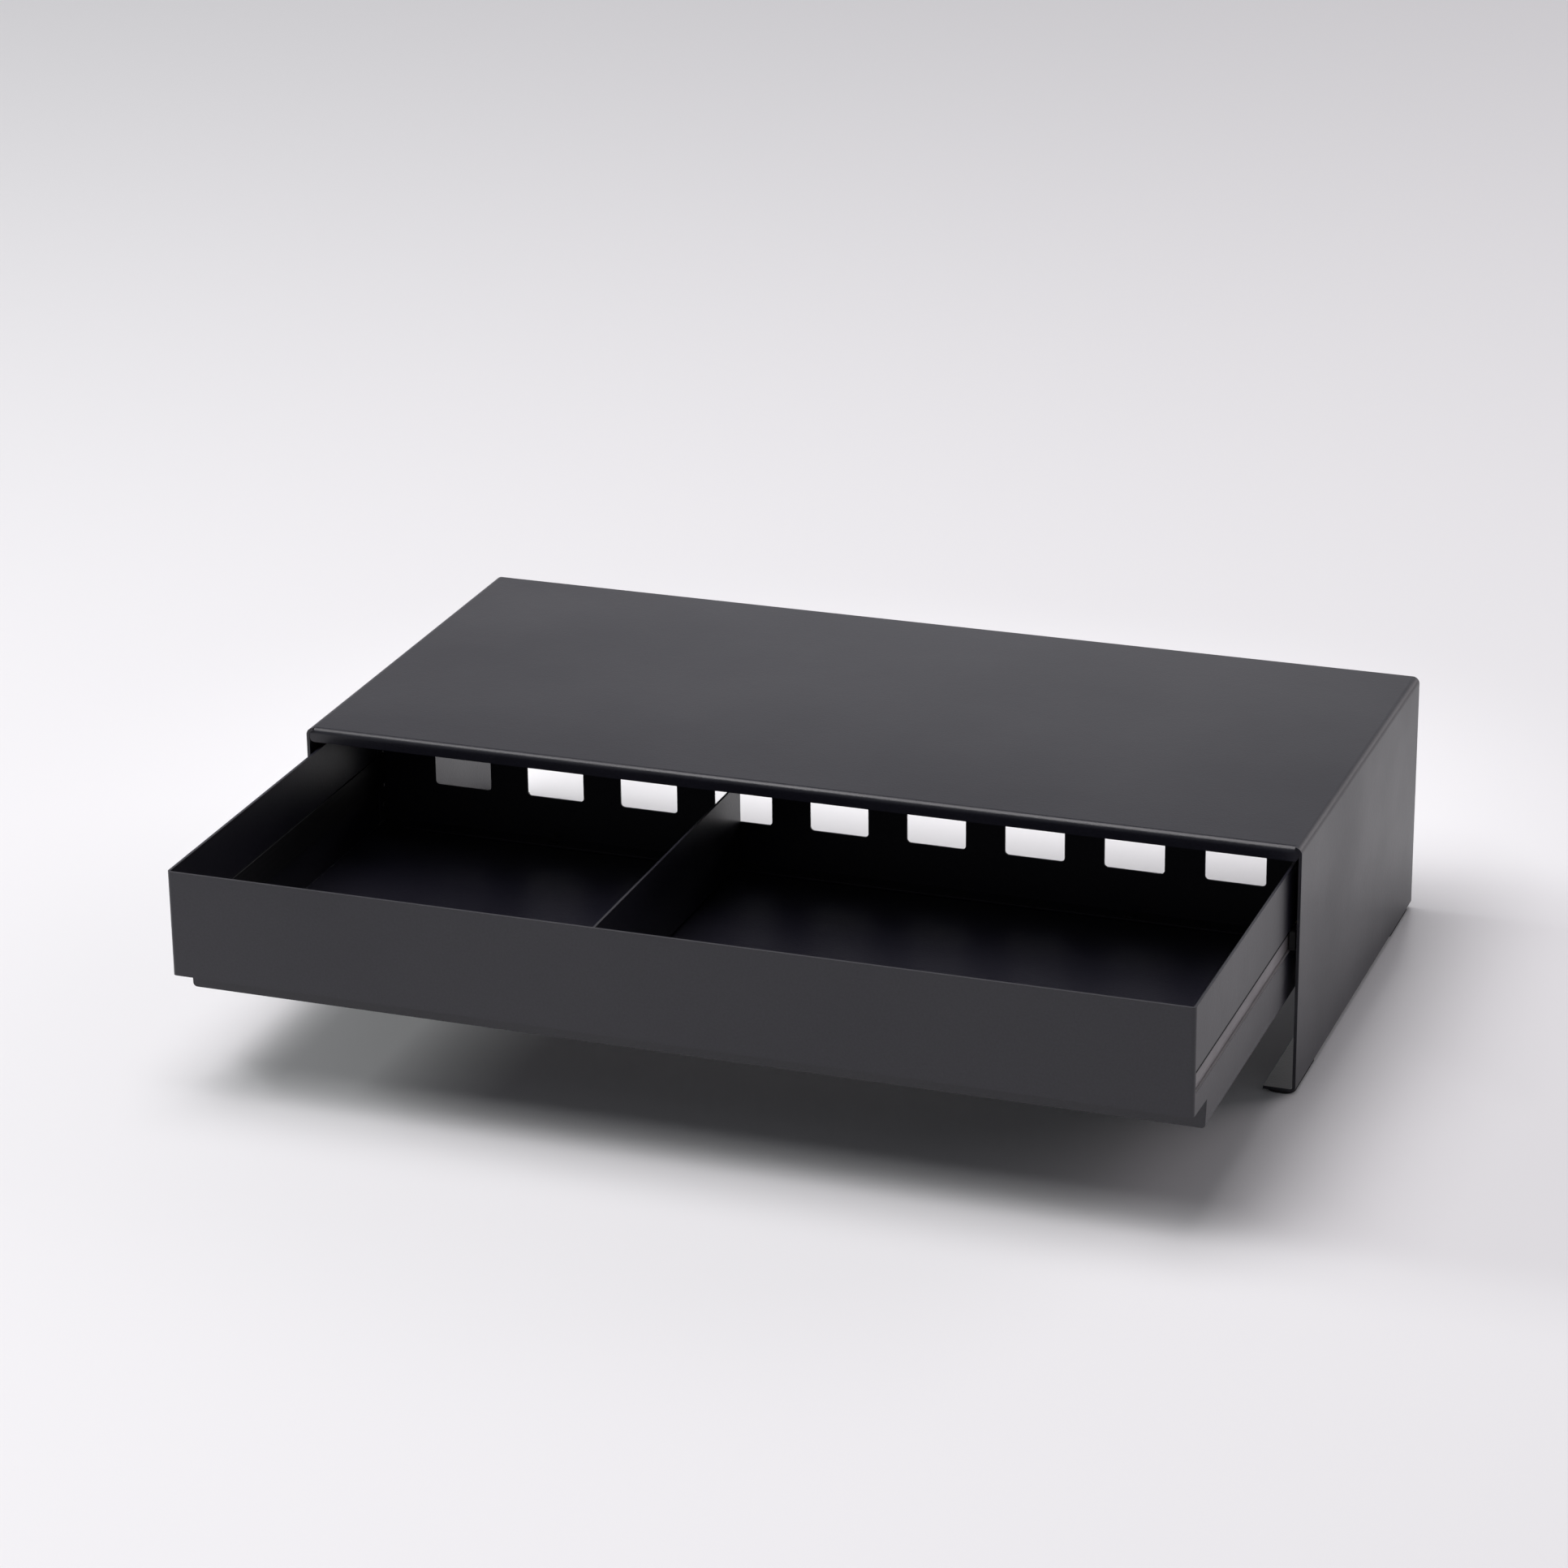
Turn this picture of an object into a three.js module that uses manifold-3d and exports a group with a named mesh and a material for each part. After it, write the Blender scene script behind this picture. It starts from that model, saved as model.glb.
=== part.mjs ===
// Monitor riser stand: a folded steel shell with a shallow drawer that runs on two slim ball slides.
// Millimetres, +Z up, +X to the right of a person who faces the drawer front, which looks towards -Y.
// The drawer is modelled pulled out. The origin is on the desk, under the middle of the whole outline.
import * as THREE from "three";
import { mergeVertices } from "three/addons/utils/BufferGeometryUtils.js";
import Module from "manifold-3d";

const wasm = await Module();
wasm.setup();

// ---- driving dimensions ----
const shell = { width: 500, depth: 238, height: 124.5, sheet: 1.5, topBend: 2.75, footBend: 1.75 };
const foot = { width: 15.5, padThick: 1.5, padWidth: 13.5, padLength: 44, padInset: 0.5, padCorner: 5 };
const lip = { height: 7, bend: 2.25, sideGap: 0.3, cornerRadius: 2.5 };
const drawer = { width: 490, length: 239, out: 164, top: 113.5, bottom: 47.5, sheet: 1.2, bend: 1.9 };
const step = { depth: 20, height: 14, bend: 1.2, tuck: 0.4, floorRun: 8 };
const stepEnd = { overlap: 0.5, cornerClear: 0.9, footClear: 2.6, frontClear: 2 };
const windows = { count: 9, pitch: 50, width: 30, height: 18, corner: 2 };
const divider = { x: -52, top: 93, sheet: 1.2, flange: 12, bend: 1.4, gap: 0.3, footRise: 3, lift: 0.05 };
const slide = { middle: 77.3, slotHeight: 10.8, slotFront: 2.2 };
const strip = { height: 16, sheet: 0.7, gap: 0.05, frontGap: 0.8, rearGap: 0.8 };
const stripStop = { heights: [4.2, 5.2], length: 1 };
const rail = { height: 8.4, tongueHeight: 7.7, tongue: 1.3, front: 4.9, rearInset: 2, faceGap: 0.75 };
const buffer = { length: 3.5, height: 9.6 };
const ballCage = { length: 58, front: 9.5, sheet: 0.3, ballRadius: 0.75, balls: 9, legOver: 0.45, play: 0.02 };
const boss = { radius: 3, height: 0.9 };
const screw = { headRadius: 2.1, headHeight: 0.9, shankRadius: 1.2, clearance: 0.12, reach: 0.7 };
const socket = { radius: 0.8, depth: 0.6 };
const rivet = { headRadius: 3, headHeight: 1, shankRadius: 1.6, clearance: 0.1 };
const rivetTail = { radius: 2.3, height: 1 };
const rivetPlace = { dividerSide: 7.5, dividerFront: 62, dividerRear: 42, backX: 150, backInset: 4.6 };
const backTab = { depth: 9, lowZ: [50.5, 67], highZ: [87, 111], gap: 0.15 };
const backFoot = { inset: 14, corner: 1.4, lift: 0.1 };
const bendSteps = 5;

// ---- places worked out from them ----
const outlineMiddleY = (shell.depth - drawer.out) / 2;
const frontY = -drawer.out;
const backY = frontY + drawer.length - drawer.sheet;
const lowFrontY = frontY + step.depth;
const ledgeZ = drawer.bottom + step.height;
const shellInnerX = shell.width / 2 - shell.sheet;
const sideX = drawer.width / 2;
const sideInnerX = sideX - drawer.sheet;
const floorZ = drawer.bottom + drawer.sheet;
const stripFaceX = sideInnerX - strip.gap;
const railInnerX = stripFaceX + rail.faceGap;
const railOuterX = shellInnerX - boss.height;
const ballX = railInnerX + 0.25;
const ballZ = (rail.tongueHeight + slide.slotHeight) / 4;
const railScrewYs = [18, shell.depth / 2, shell.depth - 20];

const steel = { color: 0x17181b, roughness: 0.55, metalness: 0.3 };
const zinc = { color: 0x8d8c90, roughness: 0.4, metalness: 0.9 };
const darkZinc = { color: 0x26272a, roughness: 0.45, metalness: 0.7 };
const rubber = { color: 0x0c0c0d, roughness: 0.9, metalness: 0 };
const nylon = { color: 0x101012, roughness: 0.6, metalness: 0 };
const brass = { color: 0xb09a5a, roughness: 0.35, metalness: 0.9 };

const root = new THREE.Group();
root.position.set(0, -outlineMiddleY, 0);

// ---- solids: join and cut ----
function solidOf(geometry) {
  const bare = geometry.index ? geometry.toNonIndexed() : geometry.clone();
  bare.deleteAttribute("normal");
  bare.deleteAttribute("uv");
  const merged = mergeVertices(bare, 1e-4);
  const vertProperties = merged.attributes.position.array;
  const triVerts = new Uint32Array(merged.index.array);
  return new wasm.Manifold(new wasm.Mesh({ numProp: 3, vertProperties, triVerts }));
}

function geometryOf(solid) {
  const mesh = solid.getMesh();
  const geometry = new THREE.BufferGeometry();
  geometry.setAttribute("position", new THREE.BufferAttribute(mesh.vertProperties, 3));
  geometry.setIndex(new THREE.BufferAttribute(mesh.triVerts, 1));
  return geometry;
}

function join(...geometries) {
  return geometryOf(geometries.map(solidOf).reduce((all, next) => all.add(next)));
}

function cut(base, ...tools) {
  return geometryOf(tools.map(solidOf).reduce((left, tool) => left.subtract(tool), solidOf(base)));
}

function place(name, geometry, finish) {
  geometry.computeVertexNormals();
  const mesh = new THREE.Mesh(geometry, new THREE.MeshStandardMaterial(finish));
  mesh.name = name;
  root.add(mesh);
}

// The same piece for the other side: X reversed, and each face turned round again.
function otherSide(geometry) {
  const copy = (geometry.index ? geometry.toNonIndexed() : geometry.clone()).scale(-1, 1, 1);
  const p = copy.attributes.position;
  for (let i = 0; i < p.count; i += 3) {
    const [x, y, z] = [p.getX(i), p.getY(i), p.getZ(i)];
    p.setXYZ(i, p.getX(i + 1), p.getY(i + 1), p.getZ(i + 1));
    p.setXYZ(i + 1, x, y, z);
  }
  return mergeVertices(new THREE.BufferGeometry().setAttribute("position", p), 1e-4);
}

function placePair(name, geometry, finish) {
  place(name + "_right", geometry, finish);
  place(name + "_left", otherSide(geometry), finish);
}

// ---- basic forms ----
function block([x0, x1], [y0, y1], [z0, z1]) {
  const box = new THREE.BoxGeometry(x1 - x0, y1 - y0, z1 - z0);
  return box.translate((x0 + x1) / 2, (y0 + y1) / 2, (z0 + z1) / 2);
}

function extrude(shape, depth) {
  return new THREE.ExtrudeGeometry(shape, { depth, bevelEnabled: false, curveSegments: 4 });
}

// A section drawn in (x, z), carried along Y.
function alongY(shape, [y0, y1]) {
  return extrude(shape, y1 - y0).rotateX(Math.PI / 2).translate(0, y1, 0);
}

// A section drawn in (y, z), carried along X.
function alongX(shape, [x0, x1]) {
  const turn = new THREE.Matrix4().makeBasis(
    new THREE.Vector3(0, 1, 0), new THREE.Vector3(0, 0, 1), new THREE.Vector3(1, 0, 0));
  return extrude(shape, x1 - x0).applyMatrix4(turn).translate(x0, 0, 0);
}

function alongZ(shape, [z0, z1]) {
  return extrude(shape, z1 - z0).translate(0, 0, z0);
}

// A round bar along X, from x0 to x1.
function pinX(radius, [x0, x1], y, z, sides = 16) {
  const bar = new THREE.CylinderGeometry(radius, radius, x1 - x0, sides);
  return bar.rotateZ(Math.PI / 2).translate((x0 + x1) / 2, y, z);
}

function pinZ(radius, [z0, z1], x, y, sides = 16) {
  const bar = new THREE.CylinderGeometry(radius, radius, z1 - z0, sides);
  return bar.rotateX(Math.PI / 2).translate(x, y, (z0 + z1) / 2);
}

function roundedRectangle(path, x0, x1, z0, z1, r) {
  path.moveTo(x0 + r, z0);
  path.lineTo(x1 - r, z0);
  path.absarc(x1 - r, z0 + r, r, -Math.PI / 2, 0);
  path.lineTo(x1, z1 - r);
  path.absarc(x1 - r, z1 - r, r, 0, Math.PI / 2);
  path.lineTo(x0 + r, z1);
  path.absarc(x0 + r, z1 - r, r, Math.PI / 2, Math.PI);
  path.lineTo(x0, z0 + r);
  path.absarc(x0 + r, z0 + r, r, Math.PI, 1.5 * Math.PI);
  return path;
}

// Outline of a folded sheet: the middle line through the corners, each rounded to the bend radius
// of the middle line, with half the thickness on each side.
function foldedSheet(corners, radius, thickness) {
  const line = [];
  corners.forEach(([x, z], i) => {
    const here = new THREE.Vector2(x, z);
    if (i === 0 || i === corners.length - 1) {
      line.push(here);
      return;
    }
    const before = new THREE.Vector2(...corners[i - 1]).sub(here).normalize();
    const after = new THREE.Vector2(...corners[i + 1]).sub(here).normalize();
    const half = Math.acos(before.dot(after)) / 2;
    const r = Array.isArray(radius) ? radius[i - 1] : radius;
    const centre = here.clone().add(before.clone().add(after).normalize().multiplyScalar(r / Math.sin(half)));
    const from = here.clone().addScaledVector(before, r / Math.tan(half)).sub(centre);
    const sweep = Math.sign(before.cross(after)) * -(Math.PI - 2 * half);
    for (let k = 0; k <= bendSteps; k++)
      line.push(from.clone().rotateAround(new THREE.Vector2(), (sweep * k) / bendSteps).add(centre));
  });
  const normal = (i) => {
    const a = line[Math.max(i - 1, 0)];
    const b = line[Math.min(i + 1, line.length - 1)];
    return new THREE.Vector2(-(b.y - a.y), b.x - a.x).normalize();
  };
  const left = line.map((p, i) => p.clone().addScaledVector(normal(i), thickness / 2));
  const right = line.map((p, i) => p.clone().addScaledVector(normal(i), -thickness / 2));
  return new THREE.Shape([...left, ...right.reverse()]);
}

// ---- shell ----
// One sheet: foot, side, top, side, foot. Its front edge is folded down as a lip between the sides.
function makeShell() {
  const half = shell.sheet / 2;
  const x = shell.width / 2 - half;
  const top = shell.height - half;
  const low = foot.padThick + half;
  const toe = shell.width / 2 - foot.width;
  const section = foldedSheet(
    [[-toe, low], [-x, low], [-x, top], [x, top], [x, low], [toe, low]],
    [shell.footBend, shell.topBend, shell.topBend, shell.footBend], shell.sheet);
  const body = alongY(section, [0, shell.depth]);
  const reach = lip.bend + half;
  const lipX = shellInnerX - lip.sideGap;
  const frontCut = block([-lipX, lipX], [-1, reach], [shell.height - 2 * shell.sheet, shell.height + 1]);
  const fold = foldedSheet(
    [[reach + 1, top], [half, top], [half, shell.height - lip.height]], lip.bend, shell.sheet);
  return join(cut(body, frontCut), roundLipEnds(alongX(fold, [-lipX, lipX]), lipX));
}

// The lip's two lower corners are rounded off.
function roundLipEnds(fold, lipX) {
  const r = lip.cornerRadius;
  const low = shell.height - lip.height;
  const corner = new THREE.Shape();
  corner.moveTo(lipX + 1, low - 1);
  corner.lineTo(lipX + 1, low + r);
  corner.lineTo(lipX, low + r);
  corner.absarc(lipX - r, low + r, r, 0, -Math.PI / 2, true);
  corner.lineTo(lipX - r, low - 1);
  const waste = alongY(corner, [-1, shell.sheet + 1]);
  return cut(fold, waste, otherSide(waste));
}

function makePad(y) {
  const x1 = shell.width / 2 - (foot.width - foot.padWidth) / 2;
  const pad = roundedRectangle(new THREE.Shape(), x1 - foot.padWidth, x1,
    y - foot.padLength / 2, y + foot.padLength / 2, foot.padCorner);
  return alongZ(pad, [0, foot.padThick]);
}

// ---- drawer sheets ----
// Upper band: front panel and both sides, folded round the two front corners.
function trayWalls() {
  const half = drawer.sheet / 2;
  const x = sideX - half;
  const rear = frontY + drawer.length;
  const plan = foldedSheet([[-x, rear], [-x, frontY + half], [x, frontY + half], [x, rear]],
    drawer.bend, drawer.sheet);
  return alongZ(plan, [ledgeZ, drawer.top]);
}

// Lower band: sides and floor behind the step.
function trayTrough() {
  const half = drawer.sheet / 2;
  const x = sideX - half;
  const low = drawer.bottom + half;
  const section = foldedSheet([[-x, ledgeZ + 0.5], [-x, low], [x, low], [x, ledgeZ + 0.5]],
    drawer.bend, drawer.sheet);
  return alongY(section, [lowFrontY, frontY + drawer.length]);
}

// The step under the front panel: a ledge to the rear, then a lower front down to the floor.
function trayStep() {
  const half = drawer.sheet / 2;
  const ledge = ledgeZ + half;
  const section = foldedSheet(
    [[frontY + step.tuck, ledge], [lowFrontY + half, ledge], [lowFrontY + half, drawer.bottom + half],
      [lowFrontY + step.floorRun, drawer.bottom + half]],
    step.bend, drawer.sheet);
  return alongX(section, [-sideInnerX, sideInnerX]);
}

// Small fillings that carry the step's two faces out to the drawer sides.
function lowFrontEnds() {
  const from = sideInnerX - stepEnd.overlap;
  const end = block([from, sideX - stepEnd.cornerClear], [lowFrontY, lowFrontY + drawer.sheet],
    [drawer.bottom + stepEnd.footClear, ledgeZ + stepEnd.overlap]);
  const ledgeEnd = block([from, sideX - stepEnd.overlap], [frontY + stepEnd.frontClear, lowFrontY + 1],
    [ledgeZ, ledgeZ + drawer.sheet]);
  return [end, otherSide(end), ledgeEnd, otherSide(ledgeEnd)];
}

function makeTray() {
  const slot = block([sideX - 3, sideX + 1], [frontY + slide.slotFront, frontY + drawer.length + 1],
    [slide.middle - slide.slotHeight / 2, slide.middle + slide.slotHeight / 2]);
  const body = join(trayWalls(), trayTrough(), trayStep(), ...lowFrontEnds());
  return cut(body, slot, otherSide(slot), ...rivetHoles());
}

function windowPlace(i) {
  return (i - (windows.count - 1) / 2) * windows.pitch;
}

const wallMiddleZ = (drawer.bottom + drawer.top) / 2;
const backHalfX = sideInnerX - backTab.gap;

// Rear wall with its row of cable windows; tabs at both ends and a flange on the floor hold it.
function makeBack() {
  const sheet = new THREE.Shape();
  const low = floorZ + backFoot.lift;
  roundedRectangle(sheet, -backHalfX, backHalfX, low, drawer.top, backFoot.corner);
  for (let i = 0; i < windows.count; i++) {
    const x = windowPlace(i);
    sheet.holes.push(roundedRectangle(new THREE.Path(), x - windows.width / 2, x + windows.width / 2,
      wallMiddleZ - windows.height / 2, wallMiddleZ + windows.height / 2, windows.corner));
  }
  const wall = alongY(sheet, [backY, backY + drawer.sheet]);
  const tab = ([z0, z1]) => block([backHalfX - drawer.sheet, backHalfX],
    [backY - backTab.depth, backY + drawer.sheet / 2], [z0, z1]);
  const tabs = [tab(backTab.lowZ), tab(backTab.highZ)];
  const flange = block([-backHalfX + backFoot.inset, backHalfX - backFoot.inset],
    [backY - backTab.depth, backY + drawer.sheet / 2], [low, low + drawer.sheet]);
  return cut(join(wall, ...tabs, ...tabs.map(otherSide), flange), ...rivetHoles());
}

// A plain partition, front to back, with a flange folded to the left along the floor.
function makeDivider() {
  const low = floorZ + divider.lift;
  const rise = low + divider.footRise;
  const inner = frontY + drawer.sheet + divider.gap;
  const lowInner = lowFrontY + drawer.sheet + 3 * divider.gap;
  const ledge = ledgeZ + drawer.sheet + divider.gap;
  const rear = backY - divider.gap;
  const outline = [[lowInner, rise], [rear, rise], [rear, divider.top], [inner, divider.top], [inner, ledge],
    [lowInner, ledge]];
  const plate = new THREE.Shape(outline.map(([y, z]) => new THREE.Vector2(y, z)));
  const half = divider.sheet / 2;
  const fold = foldedSheet([[divider.x, rise + half], [divider.x, low + half],
    [divider.x - divider.flange, low + half]], divider.bend, divider.sheet);
  const upright = alongX(plate, [divider.x - half, divider.x + half]);
  const flange = alongY(fold, [lowInner, rear - backTab.depth - 1]);
  return cut(join(upright, flange), ...rivetHoles());
}

// ---- rivets ----
const rowX = divider.x - rivetPlace.dividerSide;
const underDivider = divider.sheet + divider.lift;
const rowY = backY - rivetPlace.backInset;
const underBack = drawer.sheet + backFoot.lift;
const floorRivets = [
  { name: "divider_rivet_front", x: rowX, y: frontY + rivetPlace.dividerFront, under: underDivider },
  { name: "divider_rivet_rear", x: rowX, y: backY - rivetPlace.dividerRear, under: underDivider },
  { name: "back_floor_rivet_left", x: -rivetPlace.backX, y: rowY, under: underBack },
  { name: "back_floor_rivet_right", x: rivetPlace.backX, y: rowY, under: underBack },
];
const sideRivets = [
  { name: "back_tab_rivet_low", z: 59 },
  { name: "back_tab_rivet_high", z: 100 },
];

function rivetHoles() {
  const r = rivet.shankRadius + rivet.clearance;
  const y = backY - backTab.depth / 2;
  const floor = floorRivets.map((hole) => pinZ(r, [drawer.bottom - 1, floorZ + 3], hole.x, hole.y));
  const right = sideRivets.map((hole) => pinX(r, [sideX - 4, sideX + 1], y, hole.z));
  return [...floor, ...right, ...right.map(otherSide)];
}

// Profile of a set blind rivet: domed head, shank through both sheets, rolled tail.
function rivetForm(grip) {
  const { headRadius: a, headHeight: h, shankRadius: s } = rivet;
  const { radius: b, height: t } = rivetTail;
  const profile = [[0, h], [a * 0.55, h * 0.85], [a * 0.9, h * 0.45], [a, 0], [s, 0], [s, -grip],
    [b, -grip], [b * 0.8, -grip - t], [0, -grip - t]];
  return new THREE.LatheGeometry(profile.reverse().map(([r, z]) => new THREE.Vector2(r, z)), 14);
}

function makeFloorRivet({ x, y, under }) {
  const grip = drawer.sheet + under + 0.1;
  const form = rivetForm(grip).rotateX(Math.PI / 2);
  return form.translate(x, y, floorZ + under + 0.05);
}

function makeSideRivet(z) {
  const grip = 2 * drawer.sheet + backTab.gap + 0.1;
  const form = rivetForm(grip).rotateZ(-Math.PI / 2);
  return form.translate(sideX + 0.05, backY - backTab.depth / 2, z);
}

// ---- slides: the balls run between the rail's tongue and the cut edges of the slot ----
// Drawer member: a flat strip behind the slot, which keeps the balls in. Two small stops stand at its rear end.
function makeStrip() {
  const rows = [frontY + slide.slotFront + strip.frontGap, backY - strip.rearGap];
  const inner = stripFaceX - strip.sheet;
  const body = block([inner, stripFaceX], rows,
    [slide.middle - strip.height / 2, slide.middle + strip.height / 2]);
  const stops = [-1, 1].map((sign) => {
    const z = stripStop.heights.map((v) => slide.middle + sign * v).sort((a, b) => a - b);
    return block([inner, sideX], [rows[1] - stripStop.length, rows[1]], z);
  });
  return join(body, ...stops);
}

// Shell member: a bar with a slimmer tongue, whose top and bottom edges carry the balls.
function makeRail() {
  const step = railInnerX + rail.tongue;
  const [slim, full] = [rail.tongueHeight / 2, rail.height / 2];
  const section = new THREE.Shape([[railInnerX, -slim], [step, -slim], [step, -full], [railOuterX, -full],
    [railOuterX, full], [step, full], [step, slim], [railInnerX, slim]]
    .map(([x, z]) => new THREE.Vector2(x, z + slide.middle)));
  const bar = alongY(section, [rail.front, shell.depth - rail.rearInset]);
  const holes = railScrewYs.flatMap((y) => [
    pinX(screw.headRadius + screw.clearance, [railInnerX - 1, railInnerX + screw.headHeight], y, slide.middle),
    pinX(screw.shankRadius + screw.clearance, [railInnerX, railOuterX + 1], y, slide.middle)]);
  return cut(bar, ...holes);
}

function makeBoss(y) {
  const body = pinX(boss.radius, [railOuterX, shellInnerX], y, slide.middle);
  const bore = pinX(screw.shankRadius + screw.clearance, [railOuterX - 1, railOuterX + screw.reach],
    y, slide.middle);
  return cut(body, bore);
}

function makeRailScrew(y) {
  const head = pinX(screw.headRadius, [railInnerX + 0.1, railInnerX + screw.headHeight], y, slide.middle);
  const shank = pinX(screw.shankRadius, [railInnerX + 0.5, railOuterX + screw.reach - 0.1], y, slide.middle);
  const hole = pinX(socket.radius, [railInnerX - 1, railInnerX + socket.depth], y, slide.middle, 6);
  return cut(join(head, shank), hole);
}

// Soft cap on the rail's front end: it halts the cage, and the closing drawer comes to rest against it.
function makeBuffer() {
  return block([railInnerX, railOuterX], [rail.front - buffer.length, rail.front - 0.02],
    [slide.middle - buffer.height / 2, slide.middle + buffer.height / 2]);
}

// Ball cage: a strip folded round the rail's tongue, with a row of balls in its upper and lower leg.
function makeCage() {
  const half = ballCage.sheet / 2;
  const web = (stripFaceX + railInnerX) / 2 - half;
  const rows = [ballCage.front, ballCage.front + ballCage.length];
  const plate = block([web, web + ballCage.sheet], rows,
    [slide.middle - ballZ - half, slide.middle + ballZ + half]);
  const legs = [-ballZ, ballZ].map((z) => block([web, ballX + ballCage.legOver], rows,
    [slide.middle + z - half, slide.middle + z + half]));
  const pitch = ballCage.length / ballCage.balls;
  const balls = [-ballZ, ballZ].flatMap((z) => Array.from({ length: ballCage.balls }, (_, i) =>
    new THREE.SphereGeometry(ballCage.ballRadius - ballCage.play, 8, 6)
      .translate(ballX, ballCage.front + (i + 0.5) * pitch, slide.middle + z)));
  return join(plate, ...legs, ...balls);
}

// ---- assembly ----
place("riser_shell", makeShell(), steel);
placePair("foot_pad_front", makePad(foot.padInset + foot.padLength / 2), rubber);
placePair("foot_pad_rear", makePad(shell.depth - foot.padInset - foot.padLength / 2), rubber);
placePair("slide_rail", makeRail(), darkZinc);
placePair("rail_buffer", makeBuffer(), nylon);
railScrewYs.forEach((y, i) => {
  const spot = ["front", "middle", "rear"][i];
  placePair("rail_boss_" + spot, makeBoss(y), steel);
  placePair("rail_screw_" + spot, makeRailScrew(y), darkZinc);
});
placePair("ball_cage", makeCage(), brass);
placePair("slide_strip", makeStrip(), zinc);
place("drawer_tray", makeTray(), steel);
place("drawer_back", makeBack(), steel);
place("divider", makeDivider(), steel);
floorRivets.forEach((spot) => place(spot.name, makeFloorRivet(spot), darkZinc));
sideRivets.forEach(({ name, z }) => placePair(name, makeSideRivet(z), darkZinc));

export default root;
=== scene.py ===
import math

import bmesh
import bpy
import numpy as np
from mathutils import Matrix, Vector


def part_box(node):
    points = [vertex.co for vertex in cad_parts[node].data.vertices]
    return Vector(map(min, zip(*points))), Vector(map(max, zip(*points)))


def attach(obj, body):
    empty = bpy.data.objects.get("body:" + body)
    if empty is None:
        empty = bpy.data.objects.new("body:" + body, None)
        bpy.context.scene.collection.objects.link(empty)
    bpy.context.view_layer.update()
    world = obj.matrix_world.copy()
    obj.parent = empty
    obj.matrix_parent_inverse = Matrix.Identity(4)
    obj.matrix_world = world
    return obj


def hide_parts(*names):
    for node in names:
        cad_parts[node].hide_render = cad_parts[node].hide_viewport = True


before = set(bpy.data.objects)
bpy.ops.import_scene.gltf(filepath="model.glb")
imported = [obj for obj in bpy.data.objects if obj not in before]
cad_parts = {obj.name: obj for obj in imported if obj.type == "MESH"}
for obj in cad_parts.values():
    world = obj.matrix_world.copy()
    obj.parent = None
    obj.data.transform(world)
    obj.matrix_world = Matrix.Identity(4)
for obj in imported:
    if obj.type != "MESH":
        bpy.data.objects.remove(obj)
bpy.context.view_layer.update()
mm = 0.001


def nodeBox(node):  # lowest and highest corner of a CAD node, in millimetres
    low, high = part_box(node)
    return np.array(low) / mm, np.array(high) / mm


# A line of corners with a round bend at each inner one. A bend is an arc that touches both straights:
# point = centre + the first touching radius turned by a, with a running evenly over the whole turn.
def bentLine(corners, radii, steps=8):
    corners = np.asarray(corners, float)
    runs = [corners[:1]]
    radii = np.broadcast_to(radii, len(corners) - 2)
    for before, here, after, r in zip(corners, corners[1:], corners[2:], radii):
        back = (before - here) / np.linalg.norm(before - here)
        onward = (after - here) / np.linalg.norm(after - here)
        half = np.arccos(back @ onward) / 2
        centre = here + (back + onward) / np.linalg.norm(back + onward) * r / np.sin(half)
        first = here + back * r / np.tan(half) - centre
        last = here + onward * r / np.tan(half) - centre
        turn = np.arctan2(first[0] * last[1] - first[1] * last[0], first @ last)
        a = np.linspace(0, turn, steps + 1)
        arc = np.outer(np.cos(a), first) + np.outer(np.sin(a), (-first[1], first[0]))
        runs.append(centre + arc)
    runs.append(corners[-1:])
    return np.vstack(runs)


# A rectangle with round corners, anticlockwise: each corner is a quarter circle of radius r.
def roundedBox(x0, x1, y0, y1, r, steps=6):
    a = np.linspace(0, math.pi / 2, steps + 1)
    quarter = np.stack([np.cos(a), np.sin(a)], -1) * r
    sides = [((x1 - r, y1 - r), 0), ((x0 + r, y1 - r), 1), ((x0 + r, y0 + r), 2), ((x1 - r, y0 + r), 3)]
    turns = [np.array([[1, 0], [0, 1]]), np.array([[0, 1], [-1, 0]]), -np.eye(2), np.array([[0, -1], [1, 0]])]
    return np.vstack([np.array(c) + quarter @ turns[k] for c, k in sides])


# A grid of points from two lists: point (i, j) is the section's point j moved to station i on the third axis.
def sweep(section, stations, axis):
    section, stations = np.asarray(section, float), np.asarray(stations, float)
    rows, cols = len(stations), len(section)
    flat = np.broadcast_to(section, (rows, cols, 2))
    along = np.broadcast_to(stations[:, None], (rows, cols))
    parts = {"x": (along, flat[..., 0], flat[..., 1]), "y": (flat[..., 0], along, flat[..., 1]),
             "z": (flat[..., 0], flat[..., 1], along)}[axis]
    return np.stack(parts, -1)


def quadsOf(grid, keep=None, wrap=False):  # corner numbers of a grid's quads, row by row
    rows, cols = grid.shape[:2]
    i = np.arange(rows * cols).reshape(rows, cols)
    if wrap:
        i = np.hstack([i, i[:, :1]])
    quads = np.stack([i[:-1, :-1], i[:-1, 1:], i[1:, 1:], i[1:, :-1]], -1)
    return quads[keep] if keep is not None else quads.reshape(-1, 4)


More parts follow.
